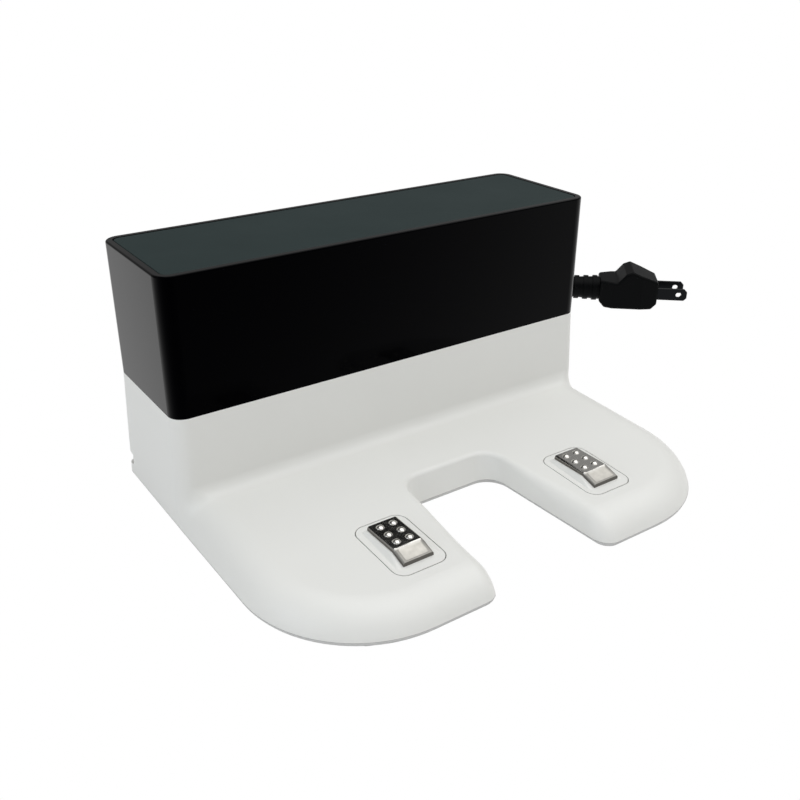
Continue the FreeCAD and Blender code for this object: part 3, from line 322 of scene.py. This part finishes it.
def reckon(tree, operation, first, second=None):
    """A sum on one or two values, each a socket or a number."""
    node = add(tree, "ShaderNodeMath", operation=operation)
    for socket, value in zip(node.inputs, (first, second)):
        if isinstance(value, float):
            socket.default_value = value
        elif value:
            tree.links.new(value, socket)
    return node.outputs["Value"]


def coined_panel(tree, place, sizes):
    """One on the coined panel of either contact's nose, and nothing elsewhere."""
    axes = add(tree, "ShaderNodeSeparateXYZ", {"Vector": place})
    either_side = reckon(tree, "ABSOLUTE", axes.outputs["X"])
    across = reckon(tree, "ABSOLUTE", reckon(tree, "SUBTRACT", either_side, sizes.middle))
    upper = sizes.bend - sizes.nose_rim
    lower = sizes.nose_end + sizes.nose_rim
    edge = sizes.nose_depth
    inside = ramp(tree, across, sizes.panel_half, sizes.panel_half - edge)
    below = ramp(tree, axes.outputs["Y"], upper, upper - edge)
    above = ramp(tree, axes.outputs["Y"], lower, lower + edge)
    return reckon(tree, "MULTIPLY", reckon(tree, "MULTIPLY", inside, below), above)


def nickel_plated_bronze(colours, sizes):
    """Stamped bronze strip with bright nickel: a mirror on top, and on the nose a rubbed panel in a rim
    painted darker grey as painted shade. Faces that don't face up are painted dark grey as painted shade."""
    material, tree, place, shader = finish("nickel_plated_bronze")
    rolled = add(tree, "ShaderNodeMapping", {"Vector": place}, Scale=(1.0, 0.04, 1.0))
    lines = add(
        tree, "ShaderNodeTexNoise", {"Vector": rolled.outputs["Vector"]},
        Scale=per_metre(0.25), Detail=4.0,
    )
    stain = add(tree, "ShaderNodeTexNoise", {"Vector": place}, Scale=per_metre(2.2), Detail=4.0)
    bump = add(
        tree, "ShaderNodeBump", {"Height": lines.outputs["Fac"]}, Strength=0.05, Distance=0.02 * MM
    )
    normal = add(tree, "ShaderNodeNewGeometry").outputs["Normal"]
    facing = add(tree, "ShaderNodeSeparateXYZ", {"Vector": normal})
    # Faces that don't face up get the dark side grey: painted shade, standing in for the dark surroundings
    # these sides reflect.
    top = ramp(tree, facing.outputs["Z"], start=0.25, end=0.6)
    along = add(tree, "ShaderNodeSeparateXYZ", {"Vector": place}).outputs["Y"]
    nose = ramp(tree, along, start=sizes.bend - 0.2 * MM, end=sizes.bend - 1.0 * MM)
    panel = coined_panel(tree, place, sizes)
    bright = tint(tree, stain.outputs["Fac"], colours.nickel, darker=0.86)
    worn = tint(tree, stain.outputs["Fac"], colours.rubbed, darker=0.7)
    # Round the coined panel the nose takes the rim's darker grey: painted shade.
    worked = add(tree, "ShaderNodeMix", {"Factor": panel}, data_type="RGBA")
    worked.inputs["A"].default_value = linear(colours.rim)
    tree.links.new(worn, worked.inputs["B"])
    face = add(tree, "ShaderNodeMix", {"Factor": nose}, data_type="RGBA")
    tree.links.new(bright, face.inputs["A"])
    tree.links.new(worked.outputs["Result"], face.inputs["B"])
    colour = add(tree, "ShaderNodeMix", {"Factor": top}, data_type="RGBA")
    colour.inputs["A"].default_value = linear(colours.side_shade)
    tree.links.new(face.outputs["Result"], colour.inputs["B"])
    rough = add(tree, "ShaderNodeMix", {"Factor": nose})
    tree.links.new(vary(tree, stain.outputs["Fac"], low=0.1, high=0.24), rough.inputs["A"])
    tree.links.new(vary(tree, stain.outputs["Fac"], low=0.38, high=0.52), rough.inputs["B"])
    tree.links.new(colour.outputs["Result"], shader.inputs["Base Color"])
    tree.links.new(rough.outputs["Result"], shader.inputs["Roughness"])
    tree.links.new(bump.outputs["Normal"], shader.inputs["Normal"])
    shader.inputs["Metallic"].default_value = 1.0
    return material


def grained(name, hex_colour, grain_mm, rough, metal=0.0, darker=0.8, ior=1.5):
    """A plain workshop finish: one colour that drifts a little, over a grain of the given size."""
    material, tree, place, shader = finish(name)
    grain = add(tree, "ShaderNodeTexNoise", {"Vector": place}, Scale=per_metre(grain_mm), Detail=4.0)
    bump = add(
        tree, "ShaderNodeBump", {"Height": grain.outputs["Fac"]},
        Strength=0.1, Distance=0.1 * grain_mm * MM,
    )
    tree.links.new(tint(tree, grain.outputs["Fac"], hex_colour, darker), shader.inputs["Base Color"])
    spread = vary(tree, grain.outputs["Fac"], low=0.9 * rough, high=1.1 * rough)
    tree.links.new(spread, shader.inputs["Roughness"])
    tree.links.new(bump.outputs["Normal"], shader.inputs["Normal"])
    shader.inputs["Metallic"].default_value = metal
    shader.inputs["IOR"].default_value = ior
    return material


def dress(material, *names):
    """Gives CAD nodes a finish."""
    for name in names:
        slots = NODES[name].data.materials
        slots.clear()
        slots.append(material)


def copied(node):
    """A CAD node's mesh to work on, with its triangles joined up."""
    shape = bmesh.new()
    shape.from_mesh(NODES[node].data)
    bmesh.ops.remove_doubles(shape, verts=shape.verts, dist=WELD)
    return shape


def fitted(shape, name, material, node, body):
    """Makes a piece from a worked mesh, and puts it in its CAD node's place."""
    for face in shape.faces:
        face.smooth = True
        face.material_index = 0
    mesh = bpy.data.meshes.new(name)
    shape.to_mesh(mesh)
    shape.free()
    mesh.set_sharp_from_angle(angle=SHARP_EDGE)
    mesh.materials.append(material)
    piece = bpy.data.objects.new(name, mesh)
    piece.matrix_world = NODES[node].matrix_world
    bpy.context.scene.collection.objects.link(piece)
    shading = piece.modifiers.new("flat_faces_stay_flat", "WEIGHTED_NORMAL")
    shading.keep_sharp = True
    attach(piece, body)
    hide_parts(node)


def finishes():
    """The colours that are set in the panel."""
    return bpy.context.scene.dock_finishes


class DOCK_OT_stage(bpy.types.Operator):
    """Camera, lamps, floor and sky"""

    bl_idname = "dock.stage"
    bl_label = "Stage"

    def execute(self, context):
        sizes = context.scene.dock_stage
        self.camera(context, sizes)
        self.floor(sizes)
        self.sky(context, sizes)
        self.softbox("top_softbox", sizes.top_lamp, **TOP_SOFTBOX)
        self.softbox("side_softbox", sizes.side_lamp, **SIDE_SOFTBOX)
        context.scene.view_settings.view_transform = "Standard"
        return {"FINISHED"}

    def camera(self, context, sizes):
        """The photo's camera, from its place and its three turns."""
        turn, tilt, roll = sizes.azimuth, sizes.elevation, sizes.roll
        back = Vector(
            (math.sin(turn) * math.cos(tilt), -math.cos(turn) * math.cos(tilt), math.sin(tilt))
        )
        level = Vector((math.cos(turn), math.sin(turn), 0.0))
        upright = back.cross(level)
        right = level * math.cos(roll) + upright * math.sin(roll)
        up = back.cross(right)
        lens = bpy.data.cameras.new("photo_camera")
        lens.lens = sizes.lens
        lens.sensor_fit = "HORIZONTAL"
        lens.clip_start = 0.01
        camera = bpy.data.objects.new("photo_camera", lens)
        facing = Matrix((right, up, back)).transposed().to_4x4()
        camera.matrix_world = Matrix.Translation(sizes.camera_place) @ facing
        context.scene.collection.objects.link(camera)
        context.scene.camera = camera

    def floor(self, sizes):
        """White to the camera and in reflections, and a pale floor with a soft shadow to the light."""
        bpy.ops.mesh.primitive_plane_add(size=sizes.floor_size)
        floor = bpy.context.object
        floor.name = "floor"
        material = bpy.data.materials.new("white_paper")
        material.use_nodes = True
        tree = material.node_tree
        tree.nodes.clear()
        path = add(tree, "ShaderNodeLightPath")
        seen = add(tree, "ShaderNodeMath", operation="MAXIMUM")
        tree.links.new(path.outputs["Is Camera Ray"], seen.inputs[0])
        tree.links.new(path.outputs["Is Glossy Ray"], seen.inputs[1])
        shown = add(tree, "ShaderNodeMath", operation="MAXIMUM")
        tree.links.new(seen.outputs["Value"], shown.inputs[0])
        tree.links.new(path.outputs["Is Transmission Ray"], shown.inputs[1])
        paper = add(tree, "ShaderNodeBsdfDiffuse", Color=(0.8, 0.8, 0.8, 1.0))
        white = add(tree, "ShaderNodeEmission", Color=(1.0, 1.0, 1.0, 1.0), Strength=1.0)
        mix = add(tree, "ShaderNodeMixShader", {"Fac": shown.outputs["Value"]})
        tree.links.new(paper.outputs["BSDF"], mix.inputs[1])
        tree.links.new(white.outputs["Emission"], mix.inputs[2])
        add(tree, "ShaderNodeOutputMaterial", {"Surface": mix.outputs["Shader"]})
        floor.data.materials.append(material)

    def sky(self, context, sizes):
        """White to the camera, and to the light a grey that is paler in front of the dock than behind."""
        world = bpy.data.worlds.new("studio")
        world.use_nodes = True
        tree = world.node_tree
        tree.nodes.clear()
        path = add(tree, "ShaderNodeLightPath")
        direction = add(tree, "ShaderNodeTexCoord").outputs["Generated"]
        axes = add(tree, "ShaderNodeSeparateXYZ", {"Vector": direction})
        level = add(tree, "ShaderNodeMapRange", {"Value": axes.outputs["Y"]}, From_Min=-0.4, From_Max=0.7)
        level.inputs["To Min"].default_value = sizes.sky_front
        level.inputs["To Max"].default_value = sizes.sky_back
        dim = add(tree, "ShaderNodeBackground", {"Strength": level.outputs["Result"]})
        white = add(tree, "ShaderNodeBackground", Strength=1.0)
        for background in (dim, white):
            background.inputs["Color"].default_value = (1.0, 1.0, 1.0, 1.0)
        mix = add(tree, "ShaderNodeMixShader", {"Fac": path.outputs["Is Camera Ray"]})
        tree.links.new(dim.outputs["Background"], mix.inputs[1])
        tree.links.new(white.outputs["Background"], mix.inputs[2])
        add(tree, "ShaderNodeOutputWorld", {"Surface": mix.outputs["Shader"]})
        context.scene.world = world

    def softbox(self, name, power, place, side, hex_colour):
        """A square lamp that the camera doesn't see."""
        lamp = bpy.data.lights.new(name, "AREA")
        lamp.shape = "SQUARE"
        lamp.size = side
        lamp.energy = power
        lamp.color = linear(hex_colour)[:3]
        softbox = bpy.data.objects.new(name, lamp)
        softbox.location = place
        softbox.rotation_euler = (DOCK_MIDDLE - Vector(place)).to_track_quat("-Z", "Y").to_euler()
        softbox.visible_camera = False
        bpy.context.scene.collection.objects.link(softbox)


class DOCK_OT_lead(bpy.types.Operator):
    """Mains lead: out of the dock, round its coil and on to the plug"""

    bl_idname = "dock.lead"
    bl_label = "Mains lead"

    def execute(self, context):
        sizes = context.scene.dock_lead
        points = [Vector(point) * MM for point in RUN_POINTS]
        points += self.coil(sizes)
        points += [Vector(point) * MM for point in LEAD_POINTS]
        curve = bpy.data.curves.new("mains_lead", "CURVE")
        curve.dimensions = "3D"
        curve.bevel_depth = sizes.diameter / 2
        curve.bevel_resolution = 6
        curve.resolution_u = 6
        curve.use_fill_caps = True
        spline = curve.splines.new("NURBS")
        spline.points.add(len(points) - 1)
        for target, point in zip(spline.points, points):
            target.co = (*point, 1.0)
        spline.order_u = 3
        spline.use_endpoint_u = True
        lead = bpy.data.objects.new("mains_lead", curve)
        context.scene.collection.objects.link(lead)
        pvc = grained("extruded_pvc_black", finishes().pvc, grain_mm=0.6, rough=0.42, ior=1.15)
        curve.materials.append(pvc)
        dress(pvc, "cord_strain_relief", "plug_strain_relief", "plug_body")
        dress(grained("woven_nylon_black", "#101011", grain_mm=0.5, rough=0.7), "cord_tie")
        # The blades' near-black is painted shade: it stands in for the dark surroundings the metal blades
        # reflect.
        dress(
            grained("brass_painted_dark", "#1C1D1F", grain_mm=0.3, rough=0.35, metal=1.0, darker=0.9),
            "plug_blade_left", "plug_blade_right",
        )
        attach(lead, "dock")
        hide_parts("cord_run", "cord_coil", "cord_lead")
        return {"FINISHED"}

    def coil(self, sizes):
        """Control points of both layers, clockwise from the coil's left."""
        turns = 2 * sizes.layer_turns + sizes.rise_turns
        count = round(turns * sizes.turn_points)
        outside = 1.0 / math.cos(math.pi / sizes.turn_points)
        points = []
        for index in range(count + 1):
            turn = turns * index / count
            inward = min(turn, turns - turn, sizes.layer_turns) / sizes.layer_turns
            radius = (sizes.coil_outer + (sizes.coil_inner - sizes.coil_outer) * inward) * outside
            climb = min(max((turn - sizes.layer_turns) / sizes.rise_turns, 0.0), 1.0)
            height = sizes.low_layer + (sizes.high_layer - sizes.low_layer) * climb
            angle = math.pi - 2 * math.pi * turn
            x, y = sizes.coil_middle
            points.append(Vector((x + radius * math.cos(angle), y + radius * math.sin(angle), height)))
        return points


class DOCK_OT_housing(bpy.types.Operator):
    """White housing, its bottom cover and the floating contact blocks"""

    bl_idname = "dock.housing"
    bl_label = "Housing"

    def execute(self, context):
        white = moulded_abs("moulded_abs_white", finishes().white)
        dress(white, "base_housing", "contact_carrier_left", "contact_carrier_right")
        # The bottom cover's greyer white is painted shade along the dock's lower edge.
        shaded_grey_white = moulded_abs("moulded_abs_grey_white_painted_shade", finishes().cover)
        dress(shaded_grey_white, "base_plate")
        self.bottom_cover(context, shaded_grey_white)
        return {"FINISHED"}

    def bottom_cover(self, context, shaded_grey_white):
        """The bottom cover again, with the stepped and leaning rim that draws the parting line."""
        sizes = context.scene.dock_housing
        shape = copied("base_plate")
        bevel_top = sizes.floor_height + sizes.floor_bevel
        step_foot = sizes.parting_height - sizes.parting_step
        for height in (bevel_top, step_foot):
            everything = [*shape.verts, *shape.edges, *shape.faces]
            bmesh.ops.bisect_plane(
                shape, geom=everything, plane_co=(0.0, 0.0, height), plane_no=(0.0, 0.0, 1.0)
            )
        insets = (
            (sizes.floor_height, sizes.rim_lean + sizes.floor_bevel),
            (bevel_top, sizes.rim_lean),
            (step_foot, 0.0),
            (sizes.parting_height, sizes.parting_step),
        )
        shape.normal_update()
        wall = self.side_wall(shape)
        moves = []
        for vert in {vert for face in wall for vert in face.verts}:
            outward = sum((face.normal for face in vert.link_faces if face in wall), Vector())
            outward.z = 0.0
            nearest = min(insets, key=lambda pair: abs(pair[0] - vert.co.z))
            moves.append((vert, outward.normalized() * nearest[1]))
        for vert, inward in moves:
            vert.co -= inward
        fitted(shape, "bottom_cover", shaded_grey_white, "base_plate", "dock")

    def side_wall(self, shape):
        """The upright faces all the way round the cover."""
        start = max(shape.faces, key=lambda face: face.calc_center_median().x)
        found = {start}
        reach = [start]
        while reach:
            for edge in reach.pop().edges:
                for face in edge.link_faces:
                    if face not in found and abs(face.normal.z) < UPRIGHT:
                        found.add(face)
                        reach.append(face)
        return found


class DOCK_OT_tower(bpy.types.Operator):
    """Black sleeve and its dark top panel"""

    bl_idname = "dock.tower"
    bl_label = "Tower"

    def execute(self, context):
        dress(polished_abs_black(finishes().black), "upper_cover")
        dress(textured_abs_charcoal(finishes().charcoal), "top_panel")
        return {"FINISHED"}


class DOCK_OT_contacts(bpy.types.Operator):
    """Stamped contacts and their leaf springs"""

    bl_idname = "dock.contacts"
    bl_label = "Contacts"

    def execute(self, context):
        sizes = context.scene.dock_contacts
        nickel = nickel_plated_bronze(finishes(), sizes)
        for side in ("left", "right"):
            dress(nickel, f"contact_plate_{side}", f"contact_spring_{side}")
            self.cap(sizes, side, nickel)
        return {"FINISHED"}

    def cap(self, sizes, side, nickel):
        """A contact's cap again, with the shallow coined panel on its nose."""
        shape = copied(f"contact_plate_{side}")
        bmesh.ops.dissolve_limit(
            shape, angle_limit=FLAT_EDGE, verts=shape.verts[:], edges=shape.edges[:]
        )
        bmesh.ops.inset_region(
            shape, faces=[self.nose(shape)], thickness=sizes.nose_rim, use_even_offset=True
        )
        bmesh.ops.bevel(
            shape, geom=self.nose(shape).verts[:], offset=sizes.nose_corner, offset_type="OFFSET",
            segments=4, profile=0.5, affect="VERTICES", clamp_overlap=True,
        )
        bmesh.ops.inset_region(
            shape, faces=[self.nose(shape)], thickness=sizes.nose_depth, depth=-sizes.nose_depth,
            use_even_offset=True,
        )
        fitted(
            shape, f"contact_cap_{side}", nickel, f"contact_plate_{side}", f"contact_{side}",
        )

    def nose(self, shape):
        """The largest face of the nose."""
        shape.normal_update()
        sloping = [
            face for face in shape.faces if face.normal.y < NOSE_FORWARD and face.normal.z > NOSE_UP
        ]
        return max(sloping, key=lambda face: face.calc_area())


class DOCK_OT_fittings(bpy.types.Operator):
    """Feet, screws and the electrics inside"""

    bl_idname = "dock.fittings"
    bl_label = "Feet, screws and electrics"

    def execute(self, context):
        rubber = grained("moulded_rubber", finishes().rubber, grain_mm=0.4, rough=0.75)
        dress(rubber, "foot_front_left", "foot_front_right", "foot_rear_left", "foot_rear_right")
        zinc = grained(
            "zinc_plated_steel", "#B4B6B8", grain_mm=0.4, rough=0.32, metal=1.0, darker=0.85
        )
        dress(zinc, "base_screws", "psu_screws", "beacon_screws")
        mask = grained("solder_mask_green", "#1F4A2B", grain_mm=1.5, rough=0.35)
        dress(mask, "psu_board", "beacon_board")
        dress(grained("sintered_ferrite", "#35322F", grain_mm=0.5, rough=0.6), "transformer")
        dress(grained("sleeved_aluminium", "#23262E", grain_mm=2.0, rough=0.35), "bulk_capacitor")
        dress(grained("potted_film_yellow", "#C4A32C", grain_mm=1.0, rough=0.45), "filter_capacitor")
        dress(grained("dark_epoxy_resin", "#2A2230", grain_mm=1.0, rough=0.12), "beacon_leds")
        silicone = grained("silicone_red", "#8E1F1C", grain_mm=0.5, rough=0.5)
        dress(silicone, "contact_lead_left", "contact_lead_right")
        return {"FINISHED"}


class DOCK_PT_panel(bpy.types.Panel):
    """Lists the dock's pieces and what can be changed on them"""

    bl_idname = "DOCK_PT_panel"
    bl_label = "Charging dock"
    bl_space_type = "VIEW_3D"
    bl_region_type = "UI"
    bl_category = "Dock"

    def draw(self, context):
        for operator in STEPS:
            self.layout.operator(operator.bl_idname)
        for group in GROUPS:
            values = getattr(context.scene, group)
            for name in values.__annotations__:
                self.layout.prop(values, name)


GROUPS = {
    "dock_finishes": DockFinishes,
    "dock_housing": HousingSizes,
    "dock_contacts": ContactSizes,
    "dock_lead": LeadSizes,
    "dock_stage": StageSizes,
}
STEPS = (
    DOCK_OT_stage,
    DOCK_OT_lead,
    DOCK_OT_housing,
    DOCK_OT_tower,
    DOCK_OT_contacts,
    DOCK_OT_fittings,
)


def register():
    for name, group in GROUPS.items():
        bpy.utils.register_class(group)
        setattr(bpy.types.Scene, name, PointerProperty(type=group))
    for kind in (*STEPS, DOCK_PT_panel):
        bpy.utils.register_class(kind)


def unregister():
    for kind in (DOCK_PT_panel, *reversed(STEPS)):
        bpy.utils.unregister_class(kind)
    for name, group in reversed(GROUPS.items()):
        delattr(bpy.types.Scene, name)
        bpy.utils.unregister_class(group)


def main():
    register()
    for step in STEPS:
        group, name = step.bl_idname.split(".")
        getattr(getattr(bpy.ops, group), name)()


if __name__ == "__main__":
    main()
